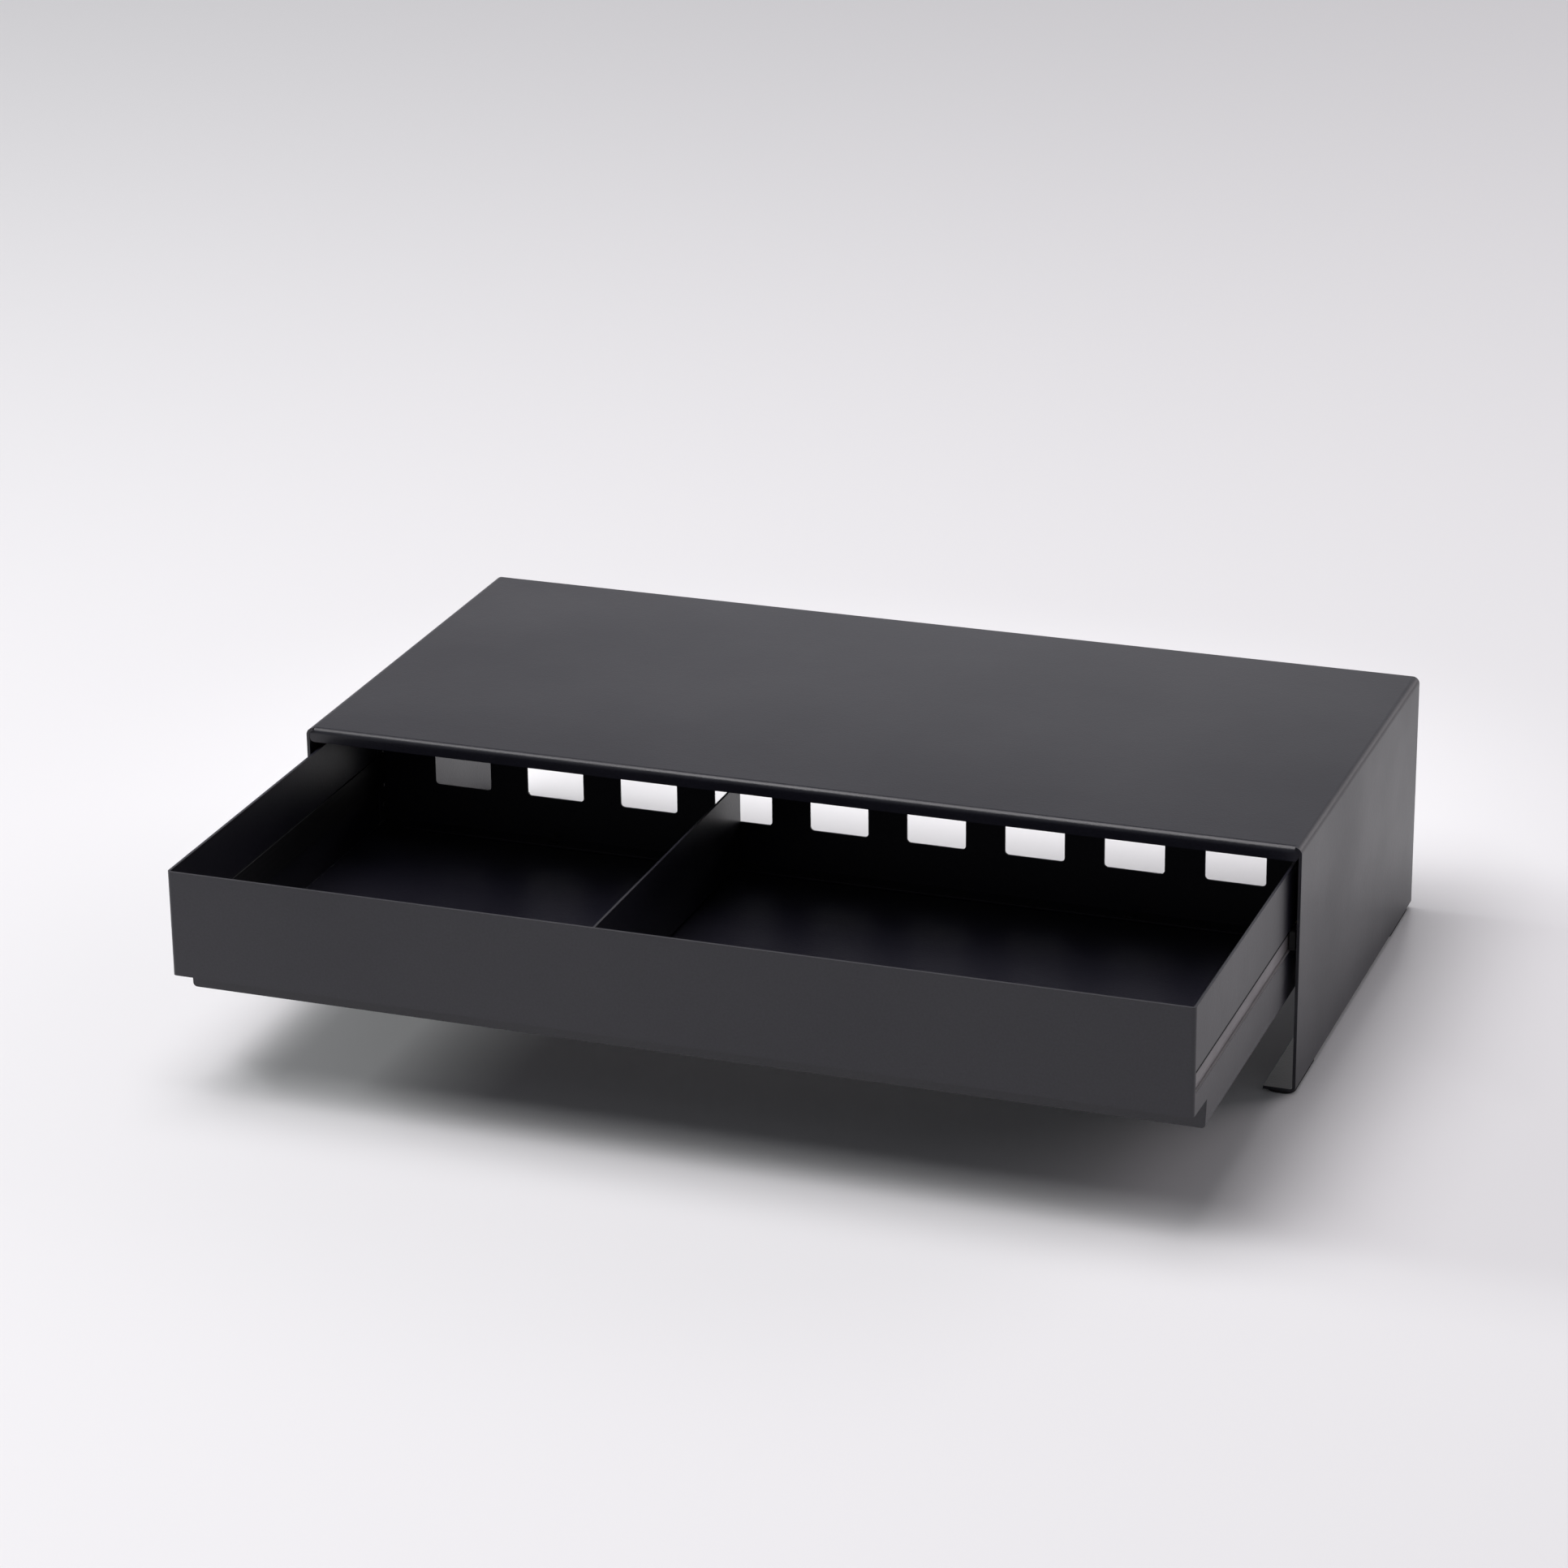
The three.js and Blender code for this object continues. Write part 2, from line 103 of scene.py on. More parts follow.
# Patches are (points, faces) in millimetres. Points that coincide become one, so patches that meet are one
# skin.
def buildPiece(name, patches, body, replaced, material):
    points, faces, start = [], [], 0
    for patchPoints, patchFaces in patches:
        points.append(np.asarray(patchPoints, float).reshape(-1, 3))
        faces += [[int(v) + start for v in face] for face in patchFaces]
        start += len(points[-1])
    mesh = bpy.data.meshes.new(name)
    mesh.from_pydata((np.vstack(points) * mm).tolist(), [], faces)
    work = bmesh.new()
    work.from_mesh(mesh)
    bmesh.ops.remove_doubles(work, verts=work.verts, dist=1e-6)
    bmesh.ops.delete(work, geom=[v for v in work.verts if not v.link_faces], context="VERTS")
    bmesh.ops.recalc_face_normals(work, faces=work.faces)
    work.to_mesh(mesh)
    work.free()
    mesh.polygons.foreach_set("use_smooth", np.full(len(mesh.polygons), True))
    piece = bpy.data.objects.new(name, mesh)
    bpy.context.scene.collection.objects.link(piece)
    mesh.materials.append(material)
    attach(piece, body)
    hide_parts(*replaced)
    return piece


def patch(grid, keep=None, wrap=False):
    return grid, quadsOf(grid, keep, wrap)


def thicken(piece, thickness):
    solid = piece.modifiers.new("sheet", "SOLIDIFY")
    solid.thickness = thickness * mm
    solid.offset = 0
    solid.use_even_offset = True


def roundEdges(piece, width, segments=3, angle=40):
    bevel = piece.modifiers.new("edges", "BEVEL")
    bevel.width = width * mm
    bevel.segments = segments
    bevel.limit_method = "ANGLE"
    bevel.angle_limit = math.radians(angle)
    bevel.harden_normals = True


# A bar: a closed outline carried from one station to the other, with a flat face on each end.
def barPatches(outline, span, axis):
    grid = sweep(outline, span, axis)
    n = len(outline)
    ends = [list(range(n))[::-1], list(range(n, 2 * n))]
    return [(grid, [list(q) for q in quadsOf(grid, wrap=True)] + ends)]


# A turned form: the profile's (radius, height) goes round the axis, point = (r cos a, r sin a, h).
def turned(profile, centre, axis, steps=32):
    profile = np.asarray(profile, float)
    a = np.linspace(0, 2 * math.pi, steps, endpoint=False)
    r, h = profile[:, :1], np.broadcast_to(profile[:, 1:], (len(profile), steps))
    u, v = r * np.cos(a), r * np.sin(a)
    grid = {"z": (u, v, h), "x": (h, u, v), "-x": (-h, u, -v)}[axis]
    return patch(np.stack(grid, -1) + np.array(centre), wrap=True)


def newMaterial(name, colour, roughness, metallic=0.0, specular=0.5):
    material = bpy.data.materials.new(name)
    material.use_nodes = True
    nodes = material.node_tree.nodes
    shader = nodes["Principled BSDF"]
    shader.inputs["Base Color"].default_value = (*colour, 1)
    shader.inputs["Roughness"].default_value = roughness
    shader.inputs["Metallic"].default_value = metallic
    shader.inputs["Specular IOR Level"].default_value = specular
    return material, shader


def addNoise(material, scale, detail, stretch=(1, 1, 1)):
    nodes, links = material.node_tree.nodes, material.node_tree.links
    coords = nodes.new("ShaderNodeTexCoord")
    mapping = nodes.new("ShaderNodeMapping")
    mapping.inputs["Scale"].default_value = stretch
    noise = nodes.new("ShaderNodeTexNoise")
    noise.inputs["Scale"].default_value = scale
    noise.inputs["Detail"].default_value = detail
    links.new(coords.outputs["Object"], mapping.inputs["Vector"])
    links.new(mapping.outputs["Vector"], noise.inputs["Vector"])
    return noise.outputs["Fac"]


def spread(material, value, low, high, fromLow=0.3, fromHigh=0.7):  # a noise value turned into a number range
    nodes, links = material.node_tree.nodes, material.node_tree.links
    ranger = nodes.new("ShaderNodeMapRange")
    ranger.inputs["From Min"].default_value = fromLow
    ranger.inputs["From Max"].default_value = fromHigh
    ranger.inputs["To Min"].default_value = low
    ranger.inputs["To Max"].default_value = high
    links.new(value, ranger.inputs["Value"])
    return ranger.outputs["Result"]


def addBump(material, shader, value, distance, strength, below=None):
    nodes, links = material.node_tree.nodes, material.node_tree.links
    bump = nodes.new("ShaderNodeBump")
    bump.inputs["Distance"].default_value = distance
    bump.inputs["Strength"].default_value = strength
    links.new(value, bump.inputs["Height"])
    if below is not None:
        links.new(below, bump.inputs["Normal"])
    links.new(bump.outputs["Normal"], shader.inputs["Normal"])
    return bump.outputs["Normal"]


def mixColour(material, value, below, above):  # two colours, plain or from a socket, mixed by a value
    nodes, links = material.node_tree.nodes, material.node_tree.links
    mix = nodes.new("ShaderNodeMix")
    mix.data_type = "RGBA"
    for socket, source in (("A", below), ("B", above)):
        if isinstance(source, tuple):
            mix.inputs[socket].default_value = (*source, 1)
        else:
            links.new(source, mix.inputs[socket])
    links.new(value, mix.inputs["Factor"])
    return mix.outputs["Result"]


def combine(material, kind, first, second):  # one Math node, whose second value is a socket or a plain number
    nodes, links = material.node_tree.nodes, material.node_tree.links
    step = nodes.new("ShaderNodeMath")
    step.operation = kind
    links.new(first, step.inputs[0])
    if isinstance(second, float):
        step.inputs[1].default_value = second
    else:
        links.new(second, step.inputs[1])
    return step.outputs["Value"]


powder = dict(dark=(0.005, 0.0048, 0.0095), light=(0.0105, 0.0100, 0.0175), grain=900, peel=220, drift=9,
              roughness=(0.32, 0.42), specular=0.57, grainDepth=0.00007, peelDepth=0.00006,
              grainStrength=0.7, peelStrength=0.6)


# Position of a point on its piece: distance from the middle, then Y and Z.
def placeParts(material):
    nodes, links = material.node_tree.nodes, material.node_tree.links
    coords = nodes.new("ShaderNodeTexCoord")
    parts = nodes.new("ShaderNodeSeparateXYZ")
    links.new(coords.outputs["Object"], parts.inputs["Vector"])
    away = nodes.new("ShaderNodeMath")
    away.operation = "ABSOLUTE"
    links.new(parts.outputs["X"], away.inputs[0])
    return away.outputs["Value"], parts.outputs["Y"], parts.outputs["Z"]


def powderCoat():  # baked powder: a fine grain on a slow orange peel, and a faint drift of tone and gloss
    material, shader = newMaterial("powderCoat", powder["dark"], powder["roughness"][0],
                                   specular=powder["specular"])
    links = material.node_tree.links
    grain = addNoise(material, powder["grain"], 2)
    peel = addNoise(material, powder["peel"], 2)
    drift = addNoise(material, powder["drift"], 4)
    tone = mixColour(material, spread(material, grain, 0.15, 0.85), powder["dark"], powder["light"])
    links.new(tone, shader.inputs["Base Color"])
    links.new(spread(material, drift, *powder["roughness"]), shader.inputs["Roughness"])
    smooth = addBump(material, shader, peel, powder["peelDepth"], powder["peelStrength"])
    addBump(material, shader, grain, powder["grainDepth"], powder["grainStrength"], smooth)
    return material


tray = dict(sheet=1.2, bend=1.4, stepDepth=20.0, stepHeight=14.0, slotFront=2.2, slotHeight=10.8, edge=0.3)
# ledge colour: painted light, a lighter tone on each slot's lower cut edge in place of its shade
ledge = dict(margin=0.1, rise=0.09, colour=(0.36, 0.345, 0.355))
# strip paint: black paint on the inner faces and painted shadow on the outer face round the bare part
strip = dict(sheet=0.7, overlap=0.1, stopZ=(4.2, 5.2), stopLength=1.0, edge=0.12, bareRise=2.0, bareStart=7.2,
             dark=(0.165, 0.152, 0.160), light=(0.215, 0.200, 0.209), paintAndShade=(0.005, 0.005, 0.006),
             roughness=(0.40, 0.50), lines=700, lineDepth=0.00002, cloud=60)


# Rolled strip: satin grey on the outer face where it shows in the slot, black everywhere else; on the outer
# face that black is painted shadow, a band along the slot's top edge and front end where their shade falls.
# Bare = (further out than half the sheet) x (below the top line) x (behind the front line).
# The painted shadow band round the bare part is dull: roughness = the larger of the metal's own and (outer -
# bare).
def rolledStrip():
    low, high = nodeBox("slide_strip_right")
    bareFace = low[0] + strip["sheet"] / 2
    bareTop = (low[2] + high[2]) / 2 + strip["bareRise"]
    bareFront = nodeBox("drawer_tray")[0][1] + strip["bareStart"]
    material, shader = newMaterial("rolledStrip", strip["dark"], strip["roughness"][0])
    links = material.node_tree.links
    away, along, height = placeParts(material)
    outer = combine(material, "GREATER_THAN", away, bareFace * mm)
    below = combine(material, "LESS_THAN", height, bareTop * mm)
    behind = combine(material, "GREATER_THAN", along, bareFront * mm)
    bareAndPaintedLight = combine(material, "MULTIPLY", outer, combine(material, "MULTIPLY", below, behind))
    lines = addNoise(material, strip["lines"], 3, stretch=(1, 0.02, 1))
    cloud = addNoise(material, strip["cloud"], 3)
    metal = mixColour(material, spread(material, cloud, 0, 1), strip["dark"], strip["light"])
    # outside the bare part: black paint, which on the outer face is painted shadow from the slot's edges
    links.new(mixColour(material, bareAndPaintedLight, strip["paintAndShade"], metal), shader.inputs["Base Color"])
    paintedShadowBand = combine(material, "SUBTRACT", outer, bareAndPaintedLight)
    gloss = spread(material, lines, *strip["roughness"])
    links.new(combine(material, "MAXIMUM", gloss, paintedShadowBand), shader.inputs["Roughness"])
    addBump(material, shader, lines, strip["lineDepth"], 0.5)
    return material


# The tray's coat, with painted light on the lower cut edge of each slot: a lighter tone over the shade that
# edge would show, in a narrow band about that edge, between the inner and outer face of the side and behind
# the slot's front end.
def paintedLightSlotCoat():
    trayLow, trayHigh = nodeBox("drawer_tray")
    stripLow, stripHigh = nodeBox("slide_strip_right")
    margin = ledge["margin"]
    inner, outer = trayHigh[0] - tray["sheet"] - margin, trayHigh[0] - margin
    front = trayLow[1] + tray["slotFront"] - margin
    edge = (stripLow[2] + stripHigh[2]) / 2 - tray["slotHeight"] / 2
    material = powderCoat()
    material.name = "paintedLightSlotCoat"
    shader = material.node_tree.nodes["Principled BSDF"]
    away, along, height = placeParts(material)
    inside = combine(material, "GREATER_THAN", away, inner * mm)
    outside = combine(material, "LESS_THAN", away, outer * mm)
    low = combine(material, "GREATER_THAN", height, (edge - margin) * mm)
    high = combine(material, "LESS_THAN", height, (edge + ledge["rise"]) * mm)
    behind = combine(material, "GREATER_THAN", along, front * mm)
    across = combine(material, "MULTIPLY", behind, combine(material, "MULTIPLY", inside, outside))
    bareAndPaintedLight = combine(material, "MULTIPLY", across, combine(material, "MULTIPLY", low, high))
    tone = shader.inputs["Base Color"].links[0].from_socket
    # painted light: the ledge colour lifts the shaded lower edge of the slot
    paintedLightTone = mixColour(material, bareAndPaintedLight, tone, ledge["colour"])
    material.node_tree.links.new(paintedLightTone, shader.inputs["Base Color"])
    return material


def mattePlastic(name, colour, roughness, grain, depth):  # moulded skin with a fine even grain
    material, shader = newMaterial(name, colour, roughness, specular=0.4)
    links = material.node_tree.links
    skin = addNoise(material, grain, 3)
    links.new(spread(material, skin, roughness - 0.06, roughness + 0.06), shader.inputs["Roughness"])
    links.new(mixColour(material, skin, tuple(0.8 * c for c in colour), tuple(1.3 * c for c in colour)),
              shader.inputs["Base Color"])
    addBump(material, shader, skin, depth, 0.6)
    return material


# Turned or pressed hardware with a soft mottled plate.
def platedSteel(name, dark, light, roughness, metallic):
    material, shader = newMaterial(name, dark, roughness, metallic=metallic)
    links = material.node_tree.links
    mottle = addNoise(material, 500, 3)
    links.new(mixColour(material, spread(material, mottle, 0, 1), dark, light), shader.inputs["Base Color"])
    links.new(spread(material, mottle, roughness - 0.08, roughness + 0.08), shader.inputs["Roughness"])
    addBump(material, shader, mottle, 0.00002, 0.4)
    return material


coat = powderCoat()
stripMetal = rolledStrip()
trayCoat = paintedLightSlotCoat()
blackZinc = platedSteel("blackZinc", (0.02, 0.02, 0.022), (0.05, 0.05, 0.055), 0.42, 0.7)
cageSteel = platedSteel("cageSteel", (0.35, 0.30, 0.20), (0.5, 0.44, 0.3), 0.35, 0.9)
padRubber = mattePlastic("padRubber", (0.010, 0.010, 0.010), 0.75, 800, 0.0001)
bufferNylon = mattePlastic("bufferNylon", (0.004, 0.004, 0.004), 0.7, 1200, 0.00004)

shell = dict(sheet=1.5, topBend=2.75, footBend=1.75, footWidth=15.5, edge=0.3)
lip = dict(height=7.0, bend=2.25, relief=0.05, sideGap=0.15, corner=2.5)


# Skin of the shell: its bent section goes from front to rear, less a strip at the top's front edge.
# The lip goes on from there: the fold's quarter circle, then an end rounded at both corners. While it turns
# down, the fold widens along the inside of the side bend: width = bend centre + root(inner radius^2 -
# rise^2), held between the fold's width at the top and the lip's own width.
def makeShell():
    low, high = nodeBox("riser_shell")
    half = shell["sheet"] / 2
    x, top, foot = high[0] - half, high[2] - half, low[2] + half
    toe = high[0] - shell["footWidth"]
    section = bentLine([(-toe, foot), (-x, foot), (-x, top), (x, top), (x, foot), (toe, foot)],
                       [shell["footBend"], shell["topBend"], shell["topBend"], shell["footBend"]])
    lipX = x - shell["topBend"] - lip["relief"]
    middle = len(section) // 2
    section = np.insert(section, middle, [(-lipX, top), (lipX, top)], axis=0)
    foldY = low[1] + lip["bend"] + half
    body = sweep(section, [low[1], foldY, high[1]], "y")
    keep = np.ones((2, len(section) - 1), bool)
    keep[0, middle - 1:middle + 2] = False
    face, lipEnd = low[1] + half, high[2] - lip["height"]
    fold = bentLine([(foldY, top), (face, top), (face, lipEnd)], lip["bend"])
    wide = high[0] - shell["sheet"] - lip["sideGap"]
    a = np.linspace(0, math.pi / 2, 7)
    r = lip["corner"]
    lower = np.stack([np.full(len(a), face), lipEnd + r * (1 - np.sin(a))], -1)
    line = np.vstack([fold[:-1], lower])
    centreX, centreZ, inner = x - shell["topBend"], top - shell["topBend"], shell["topBend"] - half
    rise = np.clip(fold[:-1, 1] - centreZ, 0, inner)
    widening = np.clip(centreX + np.sqrt(inner ** 2 - rise ** 2) - lip["relief"], lipX, wide)
    reach = np.concatenate([widening, wide - r * (1 - np.cos(a))])
    flap = np.stack([np.stack([s * reach, line[:, 0], line[:, 1]], -1) for s in (-1, 1)], 1)
    piece = buildPiece("riserShell", [patch(body, keep), patch(flap)], "shell", ["riser_shell"],
                       coat)
    thicken(piece, shell["sheet"])
    roundEdges(piece, shell["edge"])


# Skin of the tray. Band: the plan outline, bent at both front corners, goes up from the ledge to the top.
# Ledge: runs back from the band's foot. Trough: the bent floor section goes from the low front to the rear.
def makeTray():
    low, high = nodeBox("drawer_tray")
    stripLow, stripHigh = nodeBox("slide_strip_right")
    half, bend = tray["sheet"] / 2, tray["bend"]
    x, front, rear = high[0] - half, low[1] + half, high[1]
    lowFront = low[1] + tray["stepDepth"] + half
    ledge, floor = low[2] + tray["stepHeight"] + half, low[2] + half
    slotFront = low[1] + tray["slotFront"]
    slotMiddle, slotHalf = (stripLow[2] + stripHigh[2]) / 2, tray["slotHeight"] / 2
    plan = bentLine([(-x, rear), (-x, front), (x, front), (x, rear)], bend)
    plan = np.insert(plan, 1, [(-x, lowFront), (-x, slotFront)], axis=0)
    plan = np.insert(plan, len(plan) - 1, [(x, slotFront), (x, lowFront)], axis=0)
    band = sweep(plan, [ledge, slotMiddle - slotHalf, slotMiddle + slotHalf, high[2]], "z")
    keep = np.ones((3, len(plan) - 1), bool)
    keep[1, :2] = keep[1, -2:] = False
    bow = plan[3:-3]
    shelf = np.stack([np.stack([bow[:, 0], y, np.full(len(bow), ledge)], -1)
                      for y in (np.full(len(bow), lowFront), np.full(len(bow), slotFront), bow[:, 1])])
    section = bentLine([(-x, ledge), (-x, floor), (x, floor), (x, ledge)], bend)
    trough = sweep(section, [lowFront, rear], "y")
    under = section[1:-1]
    riser = np.stack([np.stack([under[:, 0], np.full(len(under), lowFront), z], -1)
                      for z in (under[:, 1], np.full(len(under), ledge))])
    piece = buildPiece("drawerTray", [patch(band, keep), patch(shelf), patch(trough), patch(riser)], "drawer",
                       ["drawer_tray"], trayCoat)
    thicken(piece, tray["sheet"])
    roundEdges(piece, tray["edge"])


rearWall = dict(sheet=1.2, count=9, pitch=50.0, width=30.0, height=18.0, corner=2.0, middleZ=80.5,
                flangeInset=14.0, tabs=((50.5, 67.0), (87.0, 111.0)), edge=0.3)


# One window's cell: the inner ring is a rounded rectangle, the outer ring the cell's own rectangle. The
# points of each round corner spread over the cell's corner: half of them up one side, half along the other.
def windowCell(centre, halfX, below, above, y):
    a, b, r = rearWall["width"] / 2, rearWall["height"] / 2, rearWall["corner"]
    inner = roundedBox(-a, a, -b, b, r)
    t = np.linspace(0, 2, len(inner) // 4)
    first, second = np.clip(t, 0, 1), np.clip(t - 1, 0, 1)
    quarter = np.stack([halfX + second * (a - r - halfX), (b - r) * (1 - first)], -1)
    corners = []
    turns = ((1, above, False), (-1, above, True), (-1, -below, False), (1, -below, True))
    for sx, height, backwards in turns:
        sz = np.sign(height)
        xs = sx * quarter[:, 0]
        zs = sz * quarter[:, 1] + first * height
        corner = np.stack([xs, zs], -1)
        corners.append(corner[::-1] if backwards else corner)
    outer = np.vstack(corners)
    rings = np.stack([inner, outer])
    points = np.stack([rings[..., 0] + centre[0], np.full(rings.shape[:2], y), rings[..., 1] + centre[1]], -1)
    sideZ = np.unique(np.round(outer[np.isclose(outer[:, 0], halfX), 1], 6)) + centre[1]
    return patch(points, wrap=True), sideZ


def flatPatch(xs, ys, zs):  # a flat rectangle: one of the three spans is a single value
    spans = [np.atleast_1d(np.asarray(v, float)) for v in (xs, ys, zs)]
    grid = np.stack(np.meshgrid(*spans, indexing="ij"), -1)
    shape = [n for n in grid.shape[:3] if n > 1]
    return patch(grid.reshape(*shape, 3))


def makeRearWall():
    low, high = nodeBox("drawer_back")
    half = rearWall["sheet"] / 2
    y = high[1] - half
    below, above = rearWall["middleZ"] - low[2], high[2] - rearWall["middleZ"]
    patches = []
    for i in range(rearWall["count"]):
        centre = ((i - (rearWall["count"] - 1) / 2) * rearWall["pitch"], rearWall["middleZ"])
        cell, sideZ = windowCell(centre, rearWall["pitch"] / 2, below, above, y)
        patches.append(cell)
    reach = rearWall["count"] * rearWall["pitch"] / 2
    for side in (-1, 1):
        patches.append(flatPatch([side * reach, side * high[0]], y, sideZ))
        patches += [flatPatch(side * (high[0] - half), [low[1], y], tab) for tab in rearWall["tabs"]]
    flange = high[0] - rearWall["flangeInset"]
    patches.append(flatPatch([-flange, flange], [low[1], y], low[2] + half))
    piece = buildPiece("drawerRearWall", patches, "drawer", ["drawer_back"], coat)
    thicken(piece, rearWall["sheet"])
    roundEdges(piece, rearWall["edge"])


partition = dict(sheet=1.2, bend=1.4, rearClear=10.0, stepClear=(0.9, 0.3), edge=0.35)


# Skin of the divider: an upright plate notched over the step, whose foot turns to the left in a quarter
# circle. The foot's first corner only gives the fold its direction.
def makeDivider():
    low, high = nodeBox("divider")
    trayLow = nodeBox("drawer_tray")[0]
    half, bend = partition["sheet"] / 2, partition["bend"]
    x, foot = high[0] - half, low[2] + half
    notchY = trayLow[1] + tray["stepDepth"] + tray["sheet"] + partition["stepClear"][0]
    notchZ = trayLow[2] + tray["stepHeight"] + tray["sheet"] + partition["stepClear"][1]
    ys = [low[1], notchY, high[1] - partition["rearClear"], high[1]]
    zs = [foot + bend, notchZ, high[2]]
    upright = np.stack([np.stack([np.full(4, x), np.array(ys), np.full(4, z)], -1) for z in zs])
    keep = np.ones((2, 3), bool)
    keep[0, 0] = False
    fold = bentLine([(x, foot + bend + 1), (x, foot), (low[0], foot)], bend)[1:]
    flange = sweep(fold, ys[1:3], "y")
    piece = buildPiece("drawerDivider", [patch(upright, keep), patch(flange)], "drawer", ["divider"],
                       coat)
    thicken(piece, partition["sheet"])
    roundEdges(piece, partition["edge"])


def mirrored(outline):  # the same outline on the other side of the middle, still going round the same way
    return (np.asarray(outline, float) * [-1, 1])[::-1]


# Flat strip behind the slot, with two small stops at its rear end.
def makeStrip(side):
    low, high = nodeBox("slide_strip_" + side)
    sign = 1 if side == "right" else -1
    inner, outer = sorted((sign * low[0], sign * high[0]))
    face = inner + strip["sheet"]
    middle = (low[2] + high[2]) / 2
    spans = [(inner, face, low[2], high[2], low[1])]
    for turn in (-1, 1):
        bottom, top = sorted(middle + turn * z for z in strip["stopZ"])
        spans.append((face - strip["overlap"], outer, bottom, top, high[1] - strip["stopLength"]))
    patches = []
    for x0, x1, z0, z1, start in spans:
        outline = np.array([(x0, z0), (x1, z0), (x1, z1), (x0, z1)])
        patches += barPatches(mirrored(outline) if side == "left" else outline, [start, high[1]], "y")
    piece = buildPiece("slideStrip_" + side, patches, "drawer", ["slide_strip_" + side], stripMetal)
    roundEdges(piece, strip["edge"], 2)


buffer = dict(corner=0.7, edge=0.4)


def makeBuffer(side):
    low, high = nodeBox("rail_buffer_right")
    outline = roundedBox(low[0], high[0], low[2], high[2], buffer["corner"])
    if side == "left":
        outline = mirrored(outline)
    piece = buildPiece("railBuffer_" + side, barPatches(outline, [low[1], high[1]], "y"), "shell",
                       ["rail_buffer_" + side], bufferNylon)
    roundEdges(piece, buffer["edge"])


pad = dict(corner=5.0, cornerSteps=10, edge=0.4)


def makePad(node):
    low, high = nodeBox(node)
    outline = roundedBox(low[0], high[0], low[1], high[1], pad["corner"], pad["cornerSteps"])
    patches = barPatches(outline, [low[2], high[2]], "z")
    piece = buildPiece(node.replace("foot_pad", "footPad"), patches, "shell", [node], padRubber)
    roundEdges(piece, pad["edge"])


rivet = dict(centre=((0.0, 0.98), (0.75, 0.97), (0.8, 0.80), (0.95, 0.96)), headRadius=3.0, headHeight=0.98,
             rim=2.9, shank=1.6, tail=((2.2, 0.1), (2.3, 0.5), (1.9, 0.95), (0.0, 1.0)), end=1.0)


# Half profile of a set blind rivet, head down to tail: dimpled middle, dome = (R sin a, H cos a), shank, and
# a rolled tail whose points are (radius, depth below the grip).
def rivetProfile(grip):
    a = np.linspace(0, math.pi / 2, 7)[2:]
    dome = np.stack([rivet["headRadius"] * np.sin(a), rivet["headHeight"] * np.cos(a)], -1)
    shank = [(rivet["rim"], 0.0), (rivet["shank"], 0.0), (rivet["shank"], -grip)]
    tail = [(radius, -grip - depth) for radius, depth in rivet["tail"]]
    return np.vstack([rivet["centre"], dome, shank, tail])


def makeRivet(node, axis):
    low, high = nodeBox(node)
    middle = (low + high) / 2
    along = 2 if axis == "z" else 0
    length = high[along] - low[along]
    centre = middle.copy()
    centre[along] = low[along] + rivet["end"] if axis == "-x" else high[along] - rivet["end"]
    points = turned(rivetProfile(length - 2 * rivet["end"]), centre, axis)
    buildPiece(node.replace("_", "-"), [points], "drawer", [node], blackZinc)


makeShell()
print("shell done")
makeTray()
makeRearWall()
makeDivider()
print("drawer done")
for side in ("right", "left"):
    makeStrip(side)
    makeBuffer(side)
    makePad("foot_pad_front_" + side)
    makePad("foot_pad_rear_" + side)
print("slides and pads done")
for place in ("low", "high"):
    makeRivet(f"back_tab_rivet_{place}_right", "x")
    makeRivet(f"back_tab_rivet_{place}_left", "-x")
for node in ("divider_rivet_front", "divider_rivet_rear", "back_floor_rivet_left", "back_floor_rivet_right"):
    makeRivet(node, "z")
print("fasteners done")


def finishNode(node, material):
    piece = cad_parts[node]
    piece.data.materials.clear()
    piece.data.materials.append(material)


for side in ("right", "left"):
    finishNode("slide_rail_" + side, blackZinc)
    finishNode("ball_cage_" + side, cageSteel)
    for spot in ("front", "middle", "rear"):
        finishNode(f"rail_boss_{spot}_{side}", coat)
        finishNode(f"rail_screw_{spot}_{side}", blackZinc)

stage = dict(size=40.0, colour=(0.80, 0.795, 0.81), roughness=0.85)


def makeFloor():
    s = stage["size"] / 2
    grid = np.array([[(-s, -s, 0), (s, -s, 0)], [(-s, s, 0), (s, s, 0)]])
    mesh = bpy.data.meshes.new("floor")
    mesh.from_pydata(grid.reshape(-1, 3).tolist(), [], [[0, 1, 3, 2]])
    floor = bpy.data.objects.new("floor", mesh)
    bpy.context.scene.collection.objects.link(floor)
    material, shader = newMaterial("paleFloor", stage["colour"], stage["roughness"], specular=0.2)
    mesh.materials.append(material)


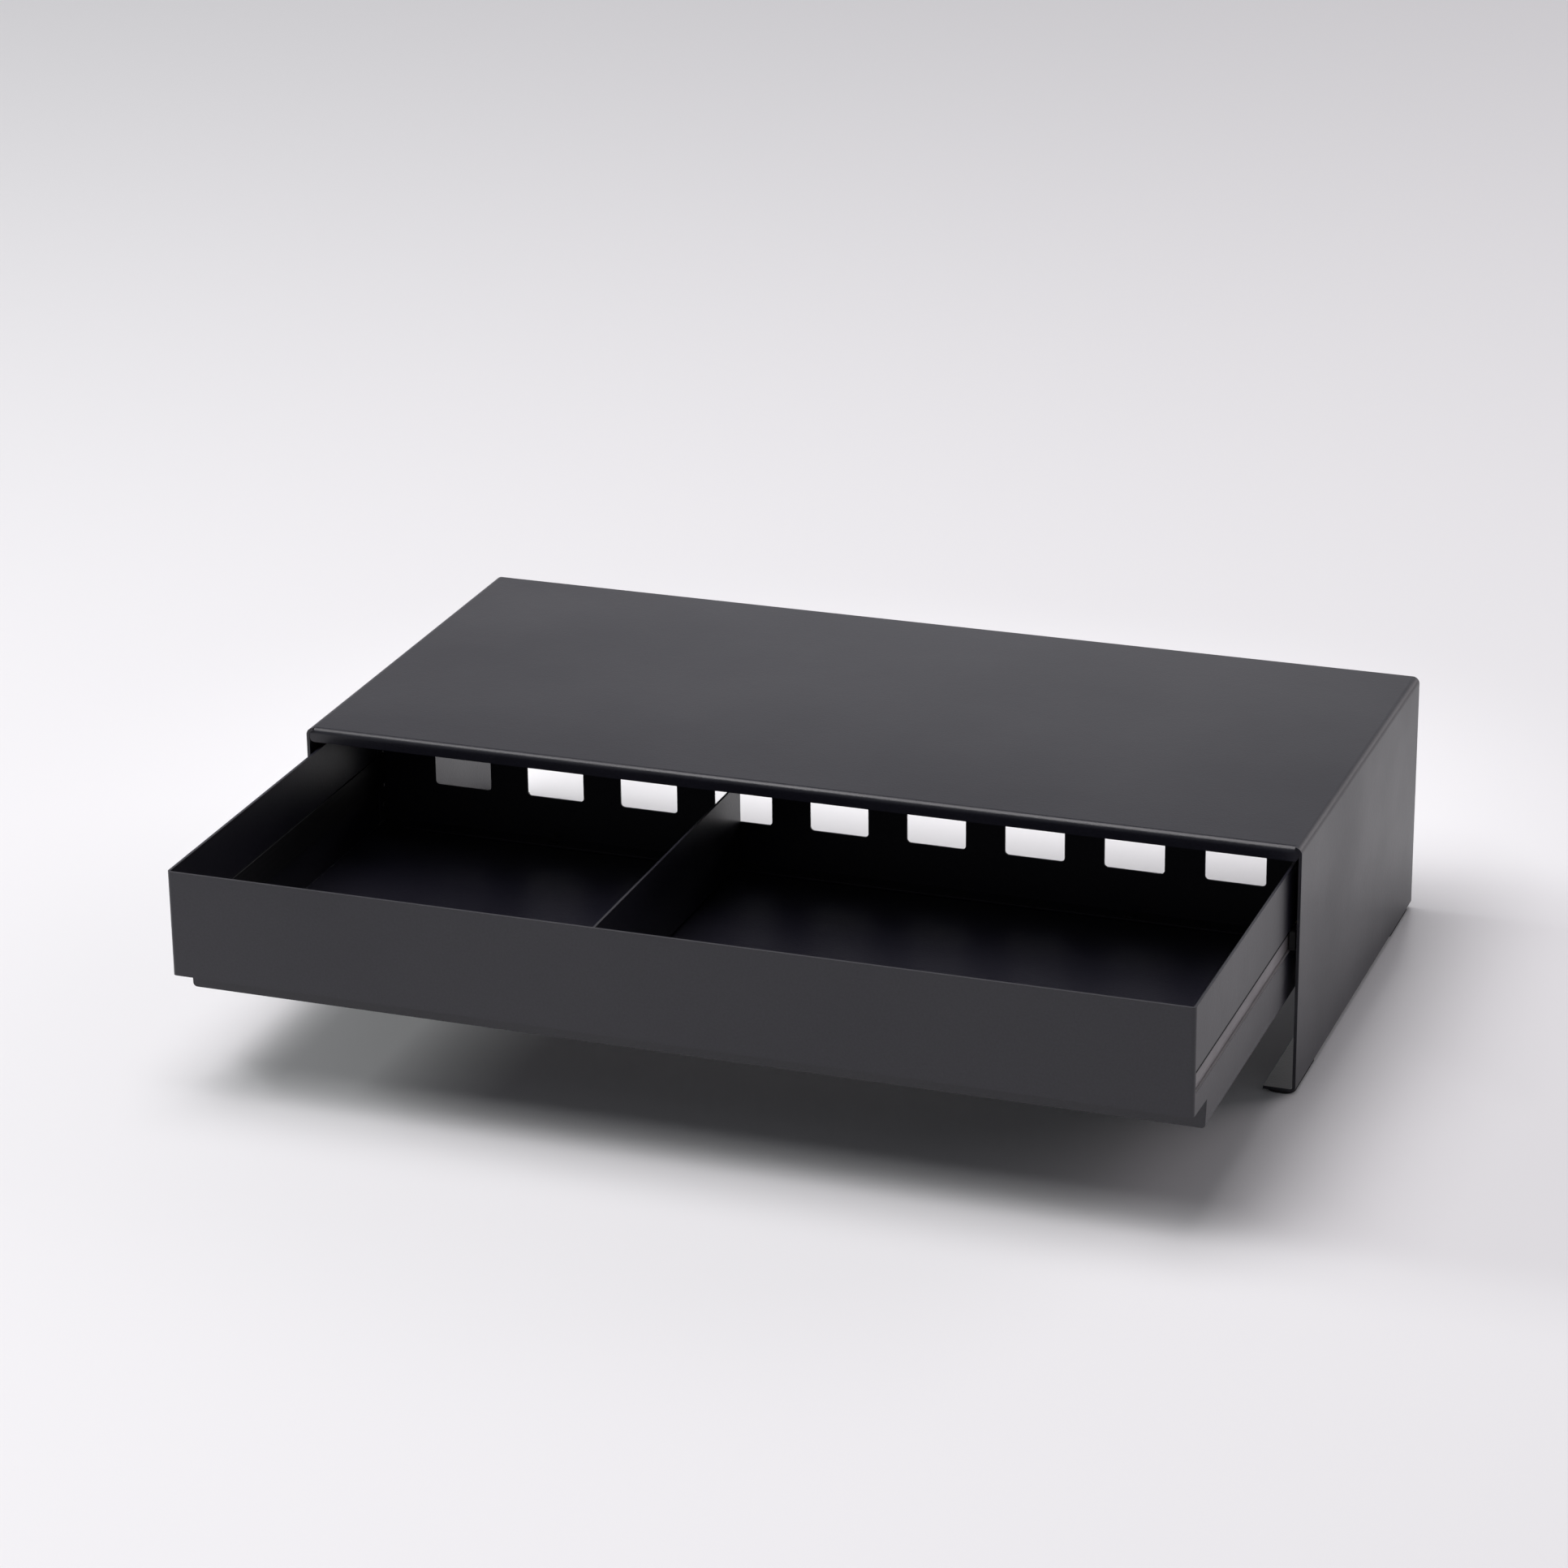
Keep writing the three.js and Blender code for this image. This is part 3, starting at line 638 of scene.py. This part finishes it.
backdrop = dict(colour=(0.93, 0.95, 1.0), strength=0.15)
lights = dict(
    sideSoftbox=dict(position=(-4.5, -0.3, 2.1), target=(0, 0, 0.05), size=(1.6, 1.2), power=87,
                     colour=(0.97, 1.0, 0.98)),
    topSoftbox=dict(position=(-0.4, -0.2, 2.6), target=(0, 0, 0), size=(1.8, 1.8), power=43,
                    colour=(1.0, 0.965, 0.985)),
    crestStrip=dict(position=(-1.0, -1.15, 2.4), target=(0, 0, 0.1), size=(2.4, 0.3), power=22),
    rightPanel=dict(position=(2.1, 2.3, 1.3), target=(0, 0, 0.1), size=(2.2, 2.0), power=25,
                    colour=(1.0, 0.93, 0.96)),
    rearPanel=dict(position=(-0.8, 3.3, 1.15), target=(0, 0, 0.2), size=(5.0, 2.2), power=16,
                   colour=(1.0, 0.98, 1.0)),
    rearGlow=dict(position=(-0.05, 1.1, 1.6), target=(-0.04, 0.24, 0), size=(0.4, 0.1), power=0.24, fan=20))


def addArea(name, position, target, size, power, colour=(1, 1, 1), fan=180):
    light = bpy.data.lights.new(name, "AREA")
    light.shape = "RECTANGLE"
    light.size, light.size_y = size
    light.energy = power
    light.color = colour
    light.spread = math.radians(fan)
    lamp = bpy.data.objects.new(name, light)
    lamp.location = position
    lamp.rotation_euler = (Vector(target) - Vector(position)).to_track_quat("-Z", "Y").to_euler()
    bpy.context.scene.collection.objects.link(lamp)


def lightStage():
    world = bpy.data.worlds.new("studio")
    bpy.context.scene.world = world
    world.use_nodes = True
    background = world.node_tree.nodes["Background"]
    background.inputs["Color"].default_value = (*backdrop["colour"], 1)
    background.inputs["Strength"].default_value = backdrop["strength"]
    for name, settings in lights.items():
        addArea(name, **settings)


camera = dict(lens=112.83, azimuth=20.04, elevation=21.47, distance=2.3263, roll=-0.692,
              target=(-0.0022, -0.0353, 0.1246), sensor=36, reach=100)


# The camera looks at the target from the given bearing and height, then is turned about its own axis by roll.
def placeCamera():
    az, el, roll = (math.radians(camera[k]) for k in ("azimuth", "elevation", "roll"))
    forward = Vector((-math.sin(az) * math.cos(el), math.cos(az) * math.cos(el), -math.sin(el)))
    right = Vector((math.cos(az), math.sin(az), 0))
    up = right.cross(forward)
    tiltedRight = right * math.cos(roll) + up * math.sin(roll)
    tiltedUp = up * math.cos(roll) - right * math.sin(roll)
    data = bpy.data.cameras.new("camera")
    data.sensor_width = camera["sensor"]
    data.lens = camera["lens"]
    data.clip_end = camera["reach"]
    eye = bpy.data.objects.new("camera", data)
    turn = Matrix((tiltedRight, tiltedUp, -forward)).transposed().to_4x4()
    eye.matrix_world = Matrix.Translation(Vector(camera["target"]) - forward * camera["distance"]) @ turn
    bpy.context.scene.collection.objects.link(eye)
    bpy.context.scene.camera = eye


makeFloor()
lightStage()
placeCamera()
bpy.context.scene.view_settings.view_transform = "Standard"
print("stage done")
